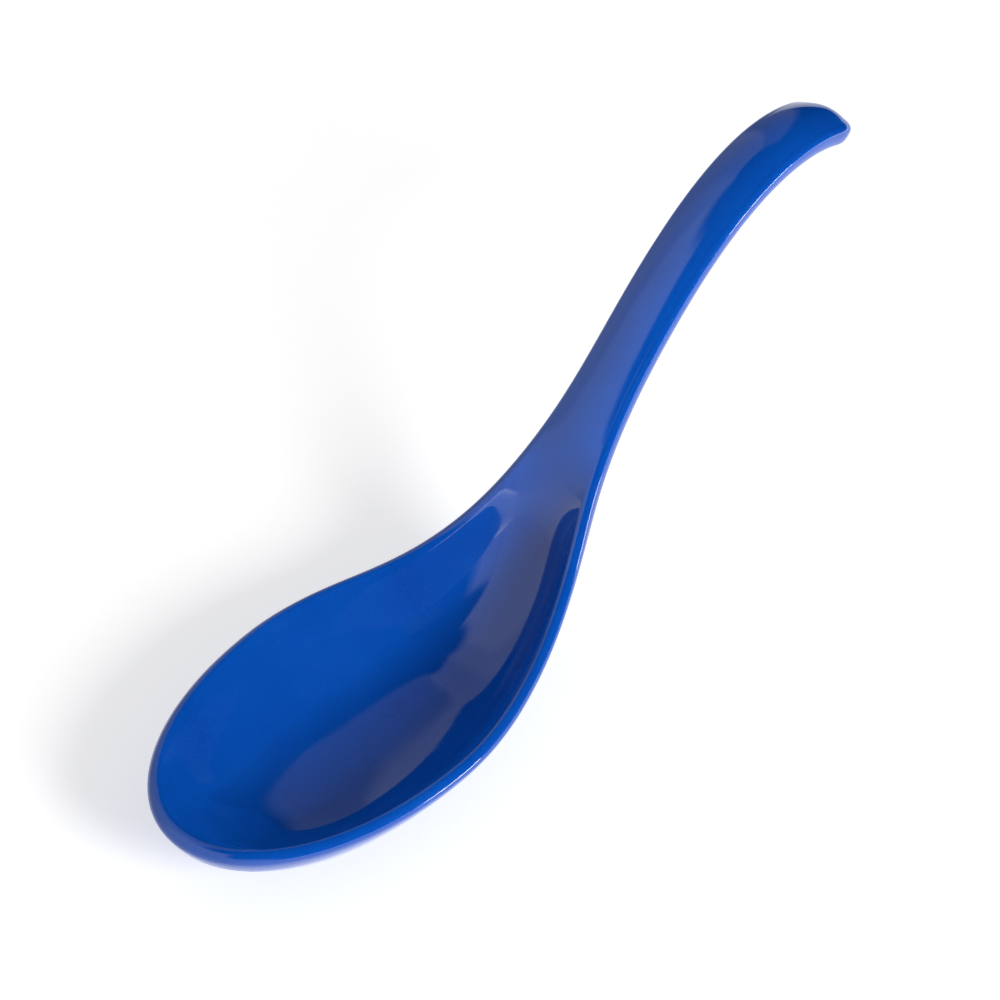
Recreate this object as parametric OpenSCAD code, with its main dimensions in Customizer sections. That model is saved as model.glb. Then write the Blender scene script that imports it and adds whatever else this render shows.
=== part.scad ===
// A soup spoon moulded in one piece: a long oval bowl with a thick lip, a neck that
// flares out of it, and a narrow crowned handle that rises and curls over at its tip.
// Each point is worked out on the spoon laid flat, as its distance from the bowl's
// tip, its place across and its height over the rim, and is then bent along the side
// curve. The origin is on the table under the middle of the foot. +X runs from the
// bowl to the handle, and +Z is up.

/* [Whole spoon] */
// Length of the spoon along its bent middle line
spoon_len = 181.5; // [170:0.5:200]

/* [Outline] */
// Width of the bowl over its lip
bowl_w = 47.8; // [40:0.2:56]
// From the bowl's tip to its widest place
nose_len = 41.5; // [36:0.5:50]
// From the bowl's widest place to where the handle has its own width
flare_len = 90; // [70:0.5:100]
// Width of the handle where the neck ends
handle_w = 11; // [9:0.2:15]
// Width of the handle near its tip
tip_w = 11.8; // [9:0.2:16]
// Length of the handle's rounded end
tip_len = 6.8; // [4:0.2:9]

/* [Bowl] */
// Depth of the bowl from its rim to its inner floor
bowl_depth = 14.4; // [9:0.2:20]
// Thickness of the bowl's floor before the foot is cut
floor_t = 3.8; // [3:0.1:5]
// From the bowl's tip to where its floor comes level
floor_start = 49; // [40:1:54]
// Length of the bowl's level floor
floor_len = 13; // [8:1:24]
// From the level floor's end to where the hollow has run out up the neck
scoop_len = 42; // [36:1:60]
// Depth of the flat cut that makes the foot
foot_cut = 1.4; // [0.6:0.1:1.8]

/* [Lip] */
// Width of the lip, from its inner edge to its outer face
lip_w = 2; // [1.4:0.1:3]
// Height of the outer wall under the lip, down to where the underside starts
lip_h = 5.2; // [3:0.1:7]

/* [Handle] */
// Height of the handle's sides
side_h = 3.8; // [2.6:0.1:6]
// Width over which the handle's sides are rounded
side_w = 1.3; // [0.8:0.1:2]
// Thickness of the handle along its middle
handle_t = 4.8; // [3.6:0.1:7]
// Height of the handle's crowned top over its sides
crown_h = 1; // [0.4:0.1:2]
// Length over which the crown runs down to the handle's end
crown_len = 4; // [3:0.5:12]

/* [Side curve] */
// From the bowl's tip to where the rim starts to rise
rise_start = 59.5; // [54:0.5:70]
// Length of the bend that turns the neck upwards
rise_len = 33; // [24:1:44]
// Steepest angle of the neck
rise_angle = 44; // [25:0.5:55]
// From the bowl's tip to where the handle starts to curl over
curl_start = 105; // [96:1:120]
// Angle at which the handle's tip points down
curl_angle = 36; // [5:1:50]

/* [Hidden] */
overrun = 1;

// Places along the flat spoon, from the bowl's tip
neck_end = nose_len + flare_len;
tip_start = spoon_len - tip_len;
floor_end = floor_start + floor_len;
scoop_end = floor_end + scoop_len;
rise_end = rise_start + rise_len;
foot_x = floor_start;
foot_z = bowl_depth + floor_t - foot_cut;

// Powers that shape the curves: 2 is an ellipse, and more is squarer
nose_power = 2.1;
flare_in_power = 1.95;
flare_out_power = 4.4;
hollow_power = 3.5;
belly_power = 2.9;
under_power = 1.25;
crown_power = 2;
tip_power = 2.6;
curl_power = 2.3;

// Height of the edge's upper rounding, as a share of the edge's height
upper_round_share = 0.3;
// Softness of the inner edge of the lip, as a share of the bowl's depth
fillet_share = 0.08;

// Counts of the mesh: rows along the spoon, strips across it, steps of the edge's
// section, and steps along the side curve
rows = 72;
strips = 18;
ring_steps = 10;
side_steps = 360;
// Turn about the outline from each tip to the first row, and between two near points
first_turn = 9;
probe_turn = 0.05;

function mix(a, b, t) = a + (b - a) * t;
function ramp(u, start, end) = min(1, max(0, (u - start) / (end - start)));
function ease(t) = t * t * (3 - 2 * t);

// The side curve: its slope at a distance u, and the bend that lays a flat point on it
function slope(u) =
    rise_angle * ease(ramp(u, rise_start, rise_end))
    - (rise_angle + curl_angle) * pow(ramp(u, curl_start, spoon_len), curl_power);

side_step = spoon_len / side_steps;
function step_slope(k) = slope((k + 0.5) * side_step);
side_x = [
    for (k = 0, x = 0; k <= side_steps; x = x + side_step * cos(step_slope(k)), k = k + 1)
        [k * side_step, x]
];
side_z = [
    for (k = 0, z = 0; k <= side_steps; z = z + side_step * sin(step_slope(k)), k = k + 1)
        [k * side_step, z]
];

function bent(p) =
    let (a = slope(p.x))
    [lookup(p.x, side_x) - p.z * sin(a), p.y, lookup(p.x, side_z) + p.z * cos(a)];

// The flat outline, by a turn of 360 degrees that starts at the bowl's tip
function half_w(u) =
    let (
        nose = 1 - pow(1 - ramp(u, 0, nose_len), nose_power),
        flare = pow(1 - pow(ramp(u, nose_len, neck_end), flare_in_power), flare_out_power),
        slim = mix(handle_w, tip_w, ease(ramp(u, neck_end, tip_start))) / 2,
        tip = 1 - pow(ramp(u, tip_start, spoon_len), tip_power)
    )
    mix(slim, bowl_w / 2, flare) * sqrt(max(0, nose * tip));

function outline(turn) =
    let (u = spoon_len * (1 - cos(turn)) / 2)
    [u, sign(sin(turn)) * half_w(u)];

function outward(turn) =
    let (d = outline(turn + probe_turn) - outline(turn - probe_turn))
    [-d.y, d.x] / norm(d);

// How far a place belongs to the bowl, from 1 in it to 0 on the handle
function bowl_part(u) = 1 - ease(ramp(u, floor_end, scoop_end));

function edge_w(u) = mix(side_w, lip_w, bowl_part(u));
function edge_h(u) = mix(side_h, lip_h, bowl_part(u));

function inner(turn) =
    let (p = outline(turn))
    p - edge_w(p.x) * outward(turn);

// The flat grid inside the lip: row i runs across, and strip j counts from -Y to +Y
function row_turn(i) = mix(first_turn, 180 - first_turn, i / rows);
function across(j) = sin(90 * (2 * j / strips - 1));
function is_end(i) = i == 0 || i == rows;

function edge_turn(i, j) =
    i == 0 ? first_turn * across(j) :
    i == rows ? 180 - first_turn * across(j) :
    sign(across(j)) * row_turn(i);

function grid(i, j) =
    is_end(i) ? inner(edge_turn(i, j)) :
    let (p = inner(row_turn(i)))
    [p.x, p.y * across(j)];

// How far a place is from the edge, from 0 at the lip to 1 in the middle
function inward(i, j, wall_power) =
    let (
        u = grid(i, j).x,
        power = mix(crown_power, wall_power, bowl_part(u)),
        front = pow(1 - ramp(u, lip_w, floor_start), wall_power),
        back = pow(ramp(u, spoon_len - crown_len, spoon_len - side_w), crown_power),
        side = pow(abs(across(j)), power)
    )
    is_end(i) ? 0 : (1 - front) * (1 - back) * (1 - side);

// The same with the inner edge of the lip rounded off
function softened(s, part) =
    let (soft = fillet_share * part)
    s <= 0 ? 0 : s * s * (1 + soft) / (s + soft);

function top_point(i, j) =
    let (
        p = grid(i, j),
        part = bowl_part(p.x)
    )
    bent([p.x, p.y, mix(crown_h, -bowl_depth, part) * softened(inward(i, j, hollow_power), part)]);

function bottom_point(i, j) =
    let (
        p = grid(i, j),
        part = bowl_part(p.x),
        middle = mix(crown_h - handle_t, -bowl_depth - floor_t, part)
    )
    bent([p.x, p.y, mix(-edge_h(p.x), middle, inward(i, j, belly_power))]);

// The grid's edge, once round
edge = [
    for (i = [0 : rows]) [i, strips],
    for (j = [strips - 1 : -1 : 0]) [rows, j],
    for (i = [rows - 1 : -1 : 0]) [i, 0],
    for (j = [1 : strips - 1]) [0, j]
];
edge_count = len(edge);

// The section outside the grid's edge, in shares of its width and height: a rounding
// down to the outer face, then a round again on the handle but, round the bowl, a wall
// that runs on into the underside
crown_slope = atan(2 * crown_power * crown_h / (handle_w - 2 * side_w));

function upper_section(t, part) =
    let (
        start = crown_slope * (1 - part),
        a = mix(start, 90, t)
    )
    [(sin(a) - sin(start)) / (1 - sin(start)), upper_round_share * (cos(start) - cos(a)) / cos(start)];

function lower_section(t, part) =
    [
        mix(cos(90 * t), 1 - pow(t, under_power), part),
        mix(upper_round_share, 1, mix(sin(90 * t), t, part))
    ];

function edge_point(place, step) =
    let (
        p = grid(place[0], place[1]),
        out = outward(edge_turn(place[0], place[1])),
        part = bowl_part(p.x),
        t = 2 * step / ring_steps,
        section = t <= 1 ? upper_section(t, part) : lower_section(t - 1, part),
        reach = edge_w(p.x) * section[0]
    )
    bent([p.x + reach * out.x, p.y + reach * out.y, -edge_h(p.x) * section[1]]);

grid_count = (rows + 1) * (strips + 1);

spoon_points = [
    for (i = [0 : rows], j = [0 : strips]) top_point(i, j),
    for (i = [0 : rows], j = [0 : strips]) bottom_point(i, j),
    for (step = [1 : ring_steps - 1], place = edge) edge_point(place, step)
];

// Numbers of the points: the top grid, the bottom grid, and the rings round the edge
function top_index(i, j) = i * (strips + 1) + j;
function bottom_index(i, j) = grid_count + top_index(i, j);

function ring_index(b, step) =
    let (place = edge[b % edge_count])
    step == 0 ? top_index(place[0], place[1]) :
    step == ring_steps ? bottom_index(place[0], place[1]) :
    2 * grid_count + (step - 1) * edge_count + b % edge_count;

// Two triangles on four corners, split along either diagonal
function split(a, b, c, d, other) = other ? [[a, b, d], [b, c, d]] : [[a, b, c], [a, c, d]];

spoon_faces = [
    for (i = [0 : rows - 1], j = [0 : strips - 1])
        each split(
            top_index(i, j), top_index(i, j + 1),
            top_index(i + 1, j + 1), top_index(i + 1, j),
            j < strips / 2
        ),
    for (i = [0 : rows - 1], j = [0 : strips - 1])
        each split(
            bottom_index(i, j), bottom_index(i + 1, j),
            bottom_index(i + 1, j + 1), bottom_index(i, j + 1),
            j < strips / 2
        ),
    for (b = [0 : edge_count - 1], step = [0 : ring_steps - 1])
        each split(
            ring_index(b, step), ring_index(b, step + 1),
            ring_index(b + 1, step + 1), ring_index(b + 1, step),
            b < edge_count / 2
        )
];

module spoon() {
    color([0.01, 0.28, 0.66])
    difference() {
        translate([-foot_x, 0, foot_z])
            polyhedron(spoon_points, spoon_faces);
        // The flat foot
        translate([0, 0, -(foot_cut + overrun) / 2])
            cube([spoon_len, bowl_w, foot_cut + overrun], center = true);
    }
}

spoon();
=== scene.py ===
import math
import bmesh
import bpy
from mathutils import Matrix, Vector


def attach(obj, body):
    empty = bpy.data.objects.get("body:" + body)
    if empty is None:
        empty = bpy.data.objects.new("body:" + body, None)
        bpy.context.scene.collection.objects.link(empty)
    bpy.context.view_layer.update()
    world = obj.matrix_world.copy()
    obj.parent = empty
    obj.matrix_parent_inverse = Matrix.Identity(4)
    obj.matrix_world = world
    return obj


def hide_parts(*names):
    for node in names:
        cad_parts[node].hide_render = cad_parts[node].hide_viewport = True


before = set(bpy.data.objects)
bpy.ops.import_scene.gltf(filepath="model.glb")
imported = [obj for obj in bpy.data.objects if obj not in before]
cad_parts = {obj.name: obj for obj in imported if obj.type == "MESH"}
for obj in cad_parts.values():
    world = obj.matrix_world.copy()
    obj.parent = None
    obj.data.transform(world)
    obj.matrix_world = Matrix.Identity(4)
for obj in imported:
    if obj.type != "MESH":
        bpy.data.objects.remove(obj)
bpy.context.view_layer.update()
mm = 0.001
samePlace = 1e-7                 # metres within which two places are one
sameTurn = 1e-4                  # radians within which two turns are one
cutReach = 1e-6                  # metres within which a cut takes a point that is there


# leaves edit mode and deselects everything, before any operator
def startFresh():
    if bpy.context.object and bpy.context.object.mode != "OBJECT":
        bpy.ops.object.mode_set(mode="OBJECT")
    bpy.ops.object.select_all(action="DESELECT")


def nameNew(name):
    piece = bpy.context.object
    piece.name = name
    piece.data.name = name
    return piece


# moves the piece's place into its mesh
def applyPlace():
    bpy.ops.object.transform_apply(location=True, rotation=False, scale=False)


def activate(piece):
    startFresh()
    piece.select_set(True)
    bpy.context.view_layer.objects.active = piece


def editMode():
    bpy.ops.object.mode_set(mode="EDIT")


def objectMode():
    bpy.ops.object.mode_set(mode="OBJECT")


# selects the points of the piece in edit mode that pass a test
def pickPoints(piece, test):
    bpy.ops.mesh.select_mode(type="VERT")
    bpy.ops.mesh.select_all(action="DESELECT")
    mesh = bmesh.from_edit_mesh(piece.data)
    for point in mesh.verts:
        if test(point):
            point.select_set(True)
    mesh.select_flush(True)
    bmesh.update_edit_mesh(piece.data)


def applyModifier(piece, kind, name, **settings):
    activate(piece)
    modifier = piece.modifiers.new(name, kind)
    for key, value in settings.items():
        setattr(modifier, key, value)
    bpy.ops.object.modifier_apply(modifier=modifier.name)


# the spoon is modelled flat, then bent along its side line
spoon = {
    "length": 181.5 * mm,        # along the bent middle line
    "bowlWidth": 47.8 * mm,
    "noseLength": 41.5 * mm,     # bowl's tip to its widest place
    "flareLength": 90 * mm,      # widest place to where the handle has its own width
    "handleWidth": 11 * mm,
    "tipWidth": 11.8 * mm,
    "tipLength": 6.8 * mm,
    "nosePower": 2.1,            # powers of the outline's curves: 2 is an ellipse
    "flareInPower": 1.95,
    "flareOutPower": 4.4,

    "bowlDepth": 14.4 * mm,
    "floorThickness": 3.8 * mm,  # before the foot is flattened
    "floorStart": 49 * mm,       # bowl's tip to where its floor comes level
    "floorLength": 13 * mm,
    "scoopLength": 42 * mm,      # level floor to where the hollow has run out up the neck
    "hollowPower": 3.5,          # the bowl's walls inside, squarer than an ellipse
    "bellyPower": 2.9,           # and below
    "footCut": 1.4 * mm,

    "lipWidth": 2 * mm,
    "lipHeight": 5.2 * mm,       # down the outer wall to where the underside starts
    "underPower": 1.25,
    "lipSoftness": 0.08,         # share of the bowl's depth

    "sideWidth": 1.3 * mm,
    "sideHeight": 3.8 * mm,
    "upperRound": 0.3,           # share of the edge's height above its outer face
    "handleThickness": 4.8 * mm,
    "crownHeight": 1 * mm,
    "crownLength": 4 * mm,
    "crownPower": 2,
    "tipPower": 2.6,             # the handle's end, a little blunter than an ellipse

    "riseStart": 59.5 * mm,
    "riseLength": 33 * mm,
    "riseAngle": 44,
    "curlStart": 105 * mm,
    "curlAngle": 36,
    "curlPower": 2.3,

    "outlinePoints": 360,
    "endPoints": 36,             # of them, across each rounded end
    "probeTurn": 0.001,          # radians to the next place, to find which way is outward
    "edgeSteps": 10,
    "sideLinePoints": 400,
}
spoon["neckEnd"] = spoon["noseLength"] + spoon["flareLength"]
spoon["tipStart"] = spoon["length"] - spoon["tipLength"]
spoon["floorEnd"] = spoon["floorStart"] + spoon["floorLength"]
spoon["scoopEnd"] = spoon["floorEnd"] + spoon["scoopLength"]
spoon["riseEnd"] = spoon["riseStart"] + spoon["riseLength"]
spoon["footMiddle"] = spoon["floorStart"]
spoon["rimHeight"] = spoon["bowlDepth"] + spoon["floorThickness"] - spoon["footCut"]
spoon["crownSlope"] = math.atan(
    2 * spoon["crownPower"] * spoon["crownHeight"] / (spoon["handleWidth"] - 2 * spoon["sideWidth"])
)


def mix(a, b, share):
    return a + (b - a) * share


def ramp(along, start, end):
    return min(1, max(0, (along - start) / (end - start)))


def ease(share):
    return share * share * (3 - 2 * share)


def halfWidth(along):
    nose = 1 - (1 - ramp(along, 0, spoon["noseLength"])) ** spoon["nosePower"]
    flare = 1 - ramp(along, spoon["noseLength"], spoon["neckEnd"]) ** spoon["flareInPower"]
    widening = ease(ramp(along, spoon["neckEnd"], spoon["tipStart"]))
    slim = mix(spoon["handleWidth"], spoon["tipWidth"], widening) / 2
    full = mix(slim, spoon["bowlWidth"] / 2, flare ** spoon["flareOutPower"])
    tip = 1 - ramp(along, spoon["tipStart"], spoon["length"]) ** spoon["tipPower"]
    return full * math.sqrt(max(0, nose * tip))


# a place on the outline by its turn about the spoon, from the bowl's tip
def outlinePlace(turn):
    along = spoon["length"] * (1 - math.cos(turn)) / 2
    return Vector((along, math.copysign(halfWidth(along), math.sin(turn))))


def outwardWay(turn):
    step = outlinePlace(turn + spoon["probeTurn"]) - outlinePlace(turn - spoon["probeTurn"])
    return Vector((-step.y, step.x)).normalized()


# 1 in the bowl, 0 on the handle
def bowlShare(along):
    return 1 - ease(ramp(along, spoon["floorEnd"], spoon["scoopEnd"]))


def edgeWidth(along):
    return mix(spoon["sideWidth"], spoon["lipWidth"], bowlShare(along))


def edgeHeight(along):
    return mix(spoon["sideHeight"], spoon["lipHeight"], bowlShare(along))


# the edge's section: 0 at its inner line on top, 1 at the outer face, 2 at its inner line below
def edgeSection(step, inBowl):
    if step <= 1:
        start = spoon["crownSlope"] * (1 - inBowl)
        angle = mix(start, math.pi / 2, step)
        reach = (math.sin(angle) - math.sin(start)) / (1 - math.sin(start))
        return reach, spoon["upperRound"] * (math.cos(start) - math.cos(angle)) / math.cos(start)
    below = step - 1
    angle = math.pi / 2 * below
    reach = mix(math.cos(angle), 1 - below ** spoon["underPower"], inBowl)
    return reach, mix(spoon["upperRound"], 1, mix(math.sin(angle), below, inBowl))


# a place in the edge's section, at a turn about the spoon
def edgePlace(turn, step):
    outer = outlinePlace(turn)
    out = outwardWay(turn)
    inner = outer - out * edgeWidth(outer.x)
    reach, drop = edgeSection(step, bowlShare(inner.x))
    flat = inner + out * edgeWidth(inner.x) * reach
    return Vector((flat.x, flat.y, -edgeHeight(inner.x) * drop))


# the edge's inner line along one side, from the bowl's tip to the handle's
def innerLine():
    count = spoon["outlinePoints"]
    return [edgePlace(math.tau * k / count, 0) for k in range(1, count // 2)]


# how far a place is from the edge, from 0 at the lip to 1 in the middle
def inwardShare(place, line, wallPower):
    along = place.x
    width = 0
    for near, far in zip(line, line[1:]):
        if near.x <= along <= far.x:
            width = mix(near.y, far.y, ramp(along, near.x, far.x))
    power = mix(spoon["crownPower"], wallPower, bowlShare(along))
    front = (1 - ramp(along, spoon["lipWidth"], spoon["floorStart"])) ** wallPower
    crownStart = spoon["length"] - spoon["crownLength"]
    back = ramp(along, crownStart, spoon["length"] - spoon["sideWidth"]) ** spoon["crownPower"]
    side = min(1, abs(place.y) / width) ** power if width else 1
    return (1 - front) * (1 - back) * (1 - side)


# the same with the lip's inner edge rounded off
def softened(share, inBowl):
    soft = spoon["lipSoftness"] * inBowl
    return share * share * (1 + soft) / (share + soft) if share > 0 else 0


# the side line's slope, up the neck and over the curl
def slopeAt(along):
    rise = spoon["riseAngle"] * ease(ramp(along, spoon["riseStart"], spoon["riseEnd"]))
    curl = ramp(along, spoon["curlStart"], spoon["length"]) ** spoon["curlPower"]
    return math.radians(rise - (spoon["riseAngle"] + spoon["curlAngle"]) * curl)


# a circle drawn in to the spoon's outline, one pair of points at a time
def drawOutline():
    startFresh()
    count = spoon["outlinePoints"]
    radius = spoon["length"] / 2
    bpy.ops.mesh.primitive_circle_add(vertices=count, radius=radius, location=(radius, 0, 0))
    piece = nameNew("spoonShell")
    applyPlace()
    editMode()
    mesh = bmesh.from_edit_mesh(piece.data)
    for layer in ("turn", "step"):
        mesh.verts.layers.float.new(layer)
    turns = mesh.verts.layers.float["turn"]
    for point in mesh.verts:
        point[turns] = math.atan2(point.co.y, radius - point.co.x)
    for k in range(1, count // 2):
        turn = math.tau * k / count
        along = radius * (1 - math.cos(turn))
        pickPoints(piece, lambda point: abs(point.co.x - along) < samePlace)
        narrowing = halfWidth(along) / (radius * math.sin(turn))
        bpy.ops.transform.resize(value=(1, narrowing, 1), center_override=(along, 0, 0))
    print("spoon: outline drawn")
    return piece


# lays the selected ring at its place in the edge's section
def layRing(piece, step):
    mesh = bmesh.from_edit_mesh(piece.data)
    turns = mesh.verts.layers.float["turn"]
    steps = mesh.verts.layers.float["step"]
    for point in mesh.verts:
        if point.select:
            point[steps] = step
            point.co = edgePlace(point[turns], step)
    bmesh.update_edit_mesh(piece.data)


def pickRing(piece, step):
    steps = bmesh.from_edit_mesh(piece.data).verts.layers.float["step"]
    pickPoints(piece, lambda point: point[steps] == step)


# closes the selected ring with rows of faces that run across the spoon
def fillRing(piece, step):
    mesh = bmesh.from_edit_mesh(piece.data)
    turns = mesh.verts.layers.float["turn"]
    corner = math.tau / spoon["outlinePoints"] * spoon["endPoints"] / 2
    mesh.select_history.clear()
    for point in mesh.verts:
        if point.select and abs(point[turns] - corner) < sameTurn:
            mesh.select_history.add(point)
    bmesh.update_edit_mesh(piece.data)
    bpy.ops.mesh.fill_grid(span=spoon["endPoints"], offset=0, use_interp_simple=True)
    mesh = bmesh.from_edit_mesh(piece.data)
    steps = mesh.verts.layers.float["step"]
    for point in mesh.verts:
        if point.select:
            point[steps] = step
            point.co.z = -edgeHeight(point.co.x) * step / 2
    bmesh.update_edit_mesh(piece.data)


# from the outline up over the lip and down the wall, and closed above and below
def buildEdgeAndSheets(piece):
    pickPoints(piece, lambda point: True)
    layRing(piece, 1)
    for way in (-1, 1):
        pickRing(piece, 1)
        for k in range(1, spoon["edgeSteps"] // 2 + 1):
            bpy.ops.mesh.select_mode(type="EDGE")
            bpy.ops.mesh.extrude_edges_move()
            bpy.ops.mesh.select_mode(type="VERT")
            layRing(piece, 1 + way * 2 * k / spoon["edgeSteps"])
        fillRing(piece, 1 + way)
    bpy.ops.mesh.select_all(action="SELECT")
    bpy.ops.mesh.normals_make_consistent(inside=False)
    objectMode()
    print("spoon: edge extruded and closed above and below")


# the hollow, the handle's crown and the underside, as moves up or down of the flat sheets
def shapeSheets(piece):
    line = innerLine()
    steps = piece.data.attributes["step"].data
    onTop = [step.value < 1 for step in steps]
    inward = []
    for point in piece.data.vertices:
        onSheet = steps[point.index].value in (0, 2)
        wallPower = spoon["hollowPower"] if onTop[point.index] else spoon["bellyPower"]
        inward.append(inwardShare(point.co, line, wallPower) if onSheet else 0)
    rimToBelly = spoon["bowlDepth"] + spoon["floorThickness"]
    rimToGrip = spoon["handleThickness"] - spoon["crownHeight"]
    moves = (                    # whether on top, whether in the bowl, and how far up
        ("hollow", True, True, -spoon["bowlDepth"]),
        ("crown", True, False, spoon["crownHeight"]),
        ("belly", False, True, spoon["lipHeight"] - rimToBelly),
        ("grip", False, False, spoon["sideHeight"] - rimToGrip),
    )
    for name, top, bowl, height in moves:
        group = piece.vertex_groups.new(name=name)
        for point in piece.data.vertices:
            if onTop[point.index] == top and inward[point.index] > 0:
                inBowl = bowlShare(point.co.x)
                share = softened(inward[point.index], inBowl) if top else inward[point.index]
                group.add([point.index], share * (inBowl if bowl else 1 - inBowl), "REPLACE")
        applyModifier(
            piece, "DISPLACE", name, direction="Z", vertex_group=name, mid_level=0, strength=height
        )
    print("spoon: hollow, crown and underside shaped")


# the line that the flat spoon is bent along, seen from the side
def drawSideLine():
    count = spoon["sideLinePoints"]
    data = bpy.data.curves.new("sideLine", "CURVE")
    data.dimensions = "3D"
    data.twist_mode = "Z_UP"
    line = data.splines.new("POLY")
    line.points.add(count)
    step = spoon["length"] / count
    place = Vector((0, 0, 0))
    for k in range(count + 1):
        line.points[k].co = (*place, 1)
        slope = slopeAt((k + 0.5) * step)
        place = place + Vector((math.cos(slope), 0, math.sin(slope))) * step
    curve = bpy.data.objects.new("sideLine", data)
    bpy.context.collection.objects.link(curve)
    return curve


def bendSpoon(piece):
    curve = drawSideLine()
    applyModifier(piece, "CURVE", "bend", object=curve, deform_axis="POS_X")
    bpy.data.objects.remove(curve)
    piece.location = (-spoon["footMiddle"], 0, spoon["rimHeight"])
    activate(piece)
    applyPlace()
    print("spoon: bent along its side line")


# the foot: cut round at the table's height, and all below it pressed flat
def flattenFoot(piece):
    activate(piece)
    editMode()
    bpy.ops.mesh.select_all(action="SELECT")
    bpy.ops.mesh.bisect(plane_co=(0, 0, 0), plane_no=(0, 0, 1), threshold=cutReach)
    pickPoints(piece, lambda point: point.co.z < 0)
    bpy.ops.transform.resize(value=(1, 1, 0), center_override=(0, 0, 0))
    objectMode()
    print("spoon: foot flattened")


piece = drawOutline()
buildEdgeAndSheets(piece)
shapeSheets(piece)
bendSpoon(piece)
applyModifier(piece, "SUBSURF", "smooth", levels=1, render_levels=1)
flattenFoot(piece)
bpy.ops.object.shade_smooth()
for attribute in ("turn", "step"):
    piece.data.attributes.remove(piece.data.attributes[attribute])
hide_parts("spoon")
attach(piece, "root")


# shader maths: one socket of a node tree, so that sums of sockets read as sums
class Wire:
    def __init__(self, socket):
        self.socket = socket

    def math(self, operation, *others, first=None):
        node = self.socket.id_data.nodes.new("ShaderNodeMath")
        node.operation = operation
        values = (self, *others) if first is None else (first, self)
        for slot, value in zip(node.inputs, values):
            plug(slot, value)
        return Wire(node.outputs[0])

    def __add__(self, other):
        return self.math("ADD", other)

    def __radd__(self, other):
        return self.math("ADD", first=other)

    def __sub__(self, other):
        return self.math("SUBTRACT", other)

    def __rsub__(self, other):
        return self.math("SUBTRACT", first=other)

    def __mul__(self, other):
        return self.math("MULTIPLY", other)

    def __rmul__(self, other):
        return self.math("MULTIPLY", first=other)


def plug(slot, value):
    if isinstance(value, Wire):
        slot.id_data.links.new(value.socket, slot)
    else:
        slot.default_value = value


# a node has slots of the same name for numbers and colours, and only one is in use
def findSlot(slots, name):
    return next(slot for slot in slots if slot.enabled and slot.name == name)


# the nodes of one material, or of the world
class Bench:
    def __init__(self, owner):
        owner.use_nodes = True
        self.owner = owner
        self.tree = owner.node_tree
        self.tree.nodes.clear()

    # a node of any kind: its settings first, then the values or links of its sockets
    def node(self, kind, settings=None, *values, output=0, **sockets):
        node = self.tree.nodes.new("ShaderNode" + kind)
        for key, value in (settings or {}).items():
            setattr(node, key, value)
        for slot, value in zip(node.inputs, values):
            plug(slot, value)
        for name, value in sockets.items():
            plug(findSlot(node.inputs, name.replace("_", " ")), value)
        if isinstance(output, str):
            return Wire(findSlot(node.outputs, output))
        return Wire(node.outputs[output]) if node.outputs else node

    # 0 at start and 1 at end, with a smooth way between
    def soften(self, value, start, end):
        smooth = {"interpolation_type": "SMOOTHSTEP"}
        return self.node("MapRange", smooth, Value=value, From_Min=start, From_Max=end)

    # how far a place or a direction reaches along a way
    def reach(self, place, way):
        return self.node("VectorMath", {"operation": "DOT_PRODUCT"}, place, tuple(way), output="Value")

    def mix(self, share, first, second):
        return self.node("Mix", {"data_type": "RGBA"}, output="Result", Factor=share, A=first, B=second)

    def spot(self):
        return self.node("TexCoord", output="Object")

    # noise on the piece's own coordinates, size metres from one blotch to the next
    def noise(self, size, detail=2):
        return self.node("TexNoise", output="Fac", Vector=self.spot(), Scale=1 / size, Detail=detail)

    # thin broken lines from noise drawn out one way, by its scale along each axis
    def scratches(self, scale, start, end):
        drawn = self.node("Mapping", Vector=self.spot(), Scale=scale)
        lines = self.node("TexNoise", output="Fac", Vector=drawn, Scale=1, Detail=0)
        return self.soften(lines, start, end)

    def wear(self, piece, shader):
        self.node("OutputMaterial", Surface=shader)
        piece.data.materials.clear()
        piece.data.materials.append(self.owner)


# the moulded melamine: cobalt powder pressed in a polished mould, so the colour goes right
# through and only the light on it tells of pigment, polish and use
melamine = {
    "blue": (0.002, 0.071, 0.407, 1),
    "deepBlue": (0.0014, 0.058, 0.35, 1),      # where the pigment lies denser
    "paleBlue": (0.003, 0.081, 0.44, 1),       # where it lies thinner
    "cloudSize": 14 * mm,                      # of the pigment's clouds
    "speckSize": 0.45 * mm,                    # of the cellulose in the powder
    "speckShare": 0.35,                        # of the specks in the pigment's mottling
    "ior": 1.6,
    "polish": 0.055,                           # roughness of the freshly moulded face
    "dullest": 0.095,                          # and of the places that wiping has dulled
    "wipeSize": 22 * mm,
    "scratchWidth": 0.2 * mm,
    "scratchLength": 9 * mm,
    "scratchRoughness": 0.12,                  # added along a scratch
    "scratchDepth": 0.002 * mm,
    "peelSize": 6 * mm,                        # the mould's faint orange peel
    "peelDepth": 0.02 * mm,
    "grainDepth": 0.0005 * mm,
    "footHeight": 0.35 * mm,                   # how far up the foot is scuffed
    "footRoughness": 0.3,
    "denseCut": (0.5, 0.3),                    # values of its noise where each of these
    "thinCut": (0.5, 0.72),                    # sets in and where it is full
    "wipeCut": (0.45, 0.7),
    "scratchCut": (0.7, 0.78),
    "scratchedCut": (0.5, 0.65),               # of the patches that have scratches
    "scuffCut": (0.35, 0.55),
}


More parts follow.
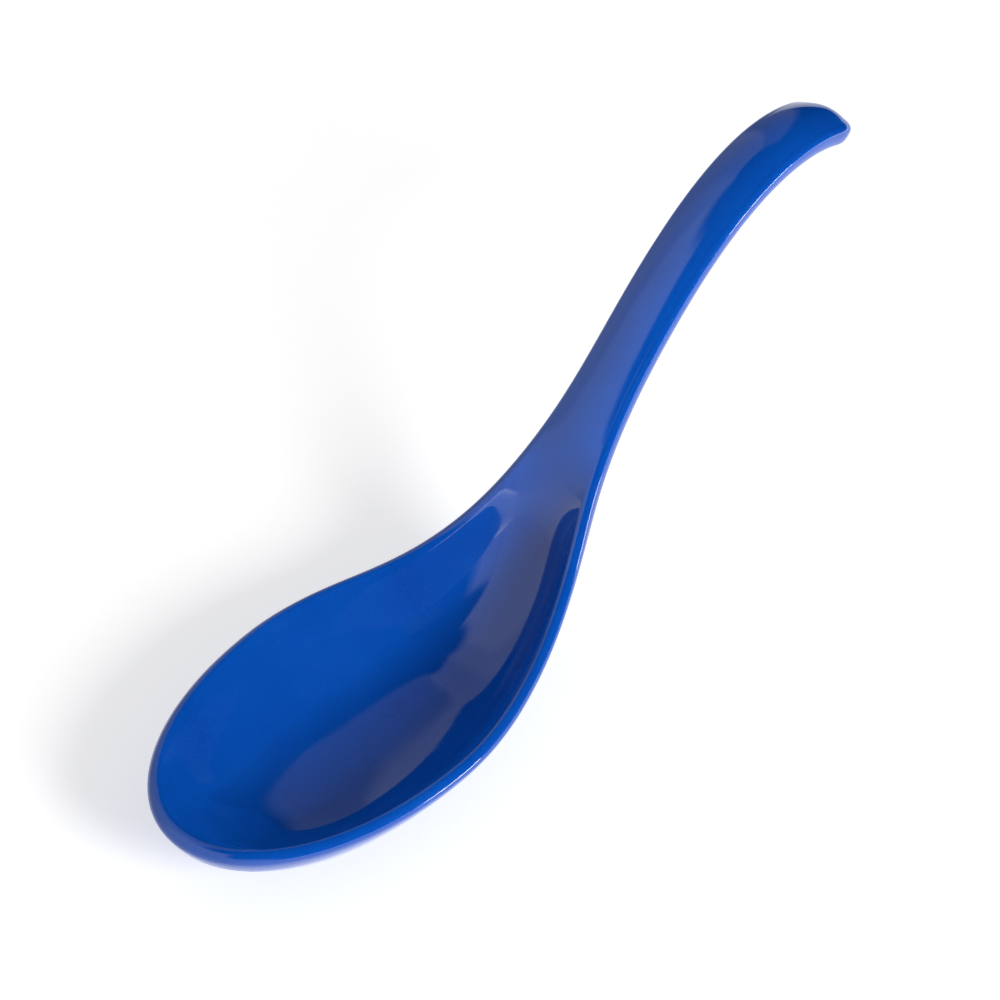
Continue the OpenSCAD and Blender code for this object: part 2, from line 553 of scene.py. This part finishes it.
def wearMelamine(piece):
    bench = Bench(bpy.data.materials.new("melamine"))

    # pigment: broad clouds with fine specks in them
    clouds = bench.noise(melamine["cloudSize"], detail=3)
    specks = bench.noise(melamine["speckSize"], detail=1)
    pigment = clouds * (1 - melamine["speckShare"]) + specks * melamine["speckShare"]
    dense = bench.soften(pigment, *melamine["denseCut"])
    thin = bench.soften(pigment, *melamine["thinCut"])
    colour = bench.mix(dense, melamine["blue"], melamine["deepBlue"])
    colour = bench.mix(thin, colour, melamine["paleBlue"])

    # wiping and stacking: dulled patches, two ways of hair scratches, and a scuffed foot
    wiped = bench.soften(bench.noise(melamine["wipeSize"]), *melamine["wipeCut"])
    drawn, fine = 1 / melamine["scratchLength"], 1 / melamine["scratchWidth"]
    along = bench.scratches((drawn, fine, fine), *melamine["scratchCut"])
    across = bench.scratches((fine, drawn, fine), *melamine["scratchCut"])
    patches = bench.soften(bench.noise(melamine["wipeSize"] / 2), *melamine["scratchedCut"])
    scratched = along.math("MAXIMUM", across) * patches
    height = bench.node("SeparateXYZ", Vector=bench.spot(), output="Z")
    onFoot = bench.soften(height, melamine["footHeight"], 0)
    scuffed = onFoot * bench.soften(specks, *melamine["scuffCut"])
    roughness = wiped * (melamine["dullest"] - melamine["polish"]) + melamine["polish"]
    roughness = roughness + scratched * melamine["scratchRoughness"]
    roughness = roughness + scuffed * melamine["footRoughness"]

    # relief: the peel, a grain from the specks, and the scratches cut into it
    peel = bench.noise(melamine["peelSize"]) * melamine["peelDepth"]
    relief = peel + specks * melamine["grainDepth"] - scratched * melamine["scratchDepth"]
    normal = bench.node("Bump", Height=relief, Distance=1, Strength=1)

    shader = bench.node(
        "BsdfPrincipled",
        Base_Color=colour,
        Roughness=roughness,
        IOR=melamine["ior"],
        Normal=normal,
    )
    bench.wear(piece, shader)
    print("melamine: pigment, polish and wear")


wearMelamine(piece)


view = {
    "azimuth": -49.46,           # degrees
    "elevation": 43.17,
    "distance": 0.8,
    "lens": 175.57,              # millimetres
    "middle": (0.0365, 0, 0.025),
    "rightShift": -0.00563,      # metres that the aim lies beside and over the middle
    "upShift": 0.00251,
    "nearest": 0.01,
    "farthest": 20,
}


# the ways to the camera's right, up and back
def viewAxes():
    azimuth = math.radians(view["azimuth"])
    elevation = math.radians(view["elevation"])
    right = Vector((math.cos(azimuth), math.sin(azimuth), 0))
    back = Vector((
        math.sin(azimuth) * math.cos(elevation),
        -math.cos(azimuth) * math.cos(elevation),
        math.sin(elevation),
    ))
    return right, back.cross(right), back


def addCamera():
    right, up, back = viewAxes()
    aim = Vector(view["middle"]) + right * view["rightShift"] + up * view["upShift"]
    startFresh()
    turned = back.to_track_quat("Z", "Y").to_euler()
    bpy.ops.object.camera_add(location=aim + back * view["distance"], rotation=turned)
    camera = bpy.context.object
    camera.name = "camera"
    camera.data.lens = view["lens"]
    camera.data.clip_start = view["nearest"]
    camera.data.clip_end = view["farthest"]
    bpy.context.scene.camera = camera
    print("camera: placed")


# a way in the room, by its turn from the camera's line of sight, positive to the camera's
# right, and its height over the table, both in degrees
def wayTo(turn, height):
    right = viewAxes()[0]
    forward = Vector((-right.y, right.x, 0))
    turn, height = math.radians(turn), math.radians(height)
    level = right * math.sin(turn) + forward * math.cos(turn)
    return level * math.cos(height) + Vector((0, 0, math.sin(height)))


def grey(value):
    return (value, value, value, 1)


# white paper with a faint even glow, and a painted pool of light on the side of the key
floor = {
    "size": 3,
    "drop": 0.05 * mm,                         # under the spoon's foot
    "white": (0.8, 0.8, 0.8, 1),
    "shade": (0.775, 0.776, 0.78, 1),          # between the paper's fibres
    "fibreSize": 1.6 * mm,
    "fibreDepth": 0.02 * mm,
    "roughness": 0.8,
    "ior": 1.3,
    "glow": 0.5,
    "paintedKeySideGlow": 1.3,                           # painted light: a pool of extra glow on the side of the key
    "sideTurn": 112,                           # degrees to that side, as for wayTo
    "sideStart": 0.1,                          # metres from the spoon
    "sideEnd": 0.3,
}


def addFloor():
    startFresh()
    bpy.ops.mesh.primitive_plane_add(size=floor["size"], location=(0, 0, -floor["drop"]))
    piece = nameNew("floor")
    applyPlace()
    bench = Bench(bpy.data.materials.new("floorPaper"))
    fibres = bench.noise(floor["fibreSize"], detail=4)
    # painted light: the paper's glow rises toward the key's side, a painted pool of light
    toSide = bench.reach(bench.spot(), wayTo(floor["sideTurn"], 0))
    paintedPoolShare = bench.soften(toSide, floor["sideStart"], floor["sideEnd"])
    glow = bench.mix(paintedPoolShare, grey(floor["glow"]), grey(floor["glow"] + floor["paintedKeySideGlow"]))
    shader = bench.node(
        "BsdfPrincipled",
        Base_Color=bench.mix(fibres, floor["shade"], floor["white"]),
        Roughness=floor["roughness"],
        IOR=floor["ior"],
        Normal=bench.node("Bump", Height=fibres * floor["fibreDepth"], Distance=1, Strength=1),
        Emission_Color=glow,
        Emission_Strength=1,
    )
    bench.wear(piece, shader)
    print("floor: laid")


# softboxes round the spoon, by turn and height as for wayTo; glow is how bright each looks,
# and each lights either the colour or the gloss
softboxes = {
    "keyBox": {
        "turn": 137, "height": 29, "distance": 1.5, "width": 0.5, "tall": 0.5,
        "glow": 17.8, "lights": "diffuse",
    },
    "lowStrip": {
        "turn": 103, "height": 1.5, "distance": 1.3, "width": 0.42, "tall": 0.09,
        "glow": 28, "lights": "gloss",
    },
}
wattsPerGlow = 4                 # for each square metre of a softbox


def addSoftbox(name, box):
    startFresh()
    way = wayTo(box["turn"], box["height"])
    turned = way.to_track_quat("Z", "Y").to_euler()
    bpy.ops.object.light_add(type="AREA", location=way * box["distance"], rotation=turned)
    light = bpy.context.object
    light.name = name
    light.data.shape = "RECTANGLE"
    light.data.size = box["width"]
    light.data.size_y = box["tall"]
    light.data.energy = box["glow"] * wattsPerGlow * box["width"] * box["tall"]
    light.visible_camera = False
    light.visible_diffuse = box["lights"] != "gloss"
    light.visible_glossy = box["lights"] != "diffuse"
    print("light:", name)


# the white screens round the table, as the gloss mirrors them: their sides by turn, their
# foot and top by height, all in degrees, and how many the top climbs for each degree of turn
screens = {
    "nearScreen": {
        "left": -184, "right": -156, "low": -20, "top": 34, "climb": 0, "soft": 14, "glow": 0.85,
    },
    "leftScreen": {
        "left": -156, "right": -72, "low": -20, "top": 69, "climb": 0, "soft": 12, "glow": 0.95,
    },
    "middleScreen": {
        "left": -72, "right": -40, "low": -20, "top": 70, "climb": 0, "soft": 9, "glow": 0.68,
    },
    "cornerScreen": {
        "left": -40, "right": -5, "low": -20, "top": 65, "climb": -0.45, "soft": 6, "glow": 0.5,
    },
    "backScreen": {
        "left": -6, "right": 16, "low": -4, "top": 56, "climb": -0.2, "soft": 6, "glow": 0.24,
    },
}
room = {
    "fill": 0.375,               # light from all round, for the colour and not for the gloss
    "backdrop": 1,
    "lean": 0.3,                 # of the screens' sides: degrees of turn for each of height
    "leanHeight": 45,            # and the height where their sides stand as given
    "seam": 90,                  # the turn where the ring of turns is cut open
}


def addScreens():
    bench = Bench(bpy.data.worlds.new("studio"))
    look = bench.node("TexCoord", output="Generated")
    toRight = bench.reach(look, wayTo(90, 0))
    toFront = bench.reach(look, wayTo(0, 0))
    turn = toRight.math("ARCTAN2", toFront) * math.degrees(1)
    turn = turn.math("WRAP", room["seam"], room["seam"] - 360)
    height = bench.node("SeparateXYZ", Vector=look, output="Z").math("ARCSINE") * math.degrees(1)
    side = turn - (height - room["leanHeight"]) * room["lean"]
    gloss = 0
    for screen in screens.values():
        soft = screen["soft"] / 2
        fromLeft = bench.soften(side, screen["left"] - soft, screen["left"] + soft)
        fromRight = bench.soften(side, screen["right"] + soft, screen["right"] - soft)
        middle = (screen["left"] + screen["right"]) / 2
        levelled = height - (turn - middle) * screen["climb"]
        under = bench.soften(levelled, screen["top"] + soft, screen["top"] - soft)
        over = bench.soften(height, screen["low"] - soft, screen["low"] + soft)
        gloss = fromLeft * fromRight * under * over * screen["glow"] + gloss
    glossRay = bench.node("LightPath", output="Is Glossy Ray")
    colourRay = bench.node("LightPath", output="Is Diffuse Ray")
    glow = gloss * glossRay + colourRay * room["fill"] + (1 - glossRay - colourRay) * room["backdrop"]
    shader = bench.node("Background", Color=(1, 1, 1, 1), Strength=glow)
    bench.node("OutputWorld", Surface=shader)
    bpy.context.scene.world = bench.owner
    print("room:", len(screens), "screens")


addCamera()
addFloor()
for name, box in softboxes.items():
    addSoftbox(name, box)
addScreens()
bpy.context.scene.view_settings.view_transform = "Standard"
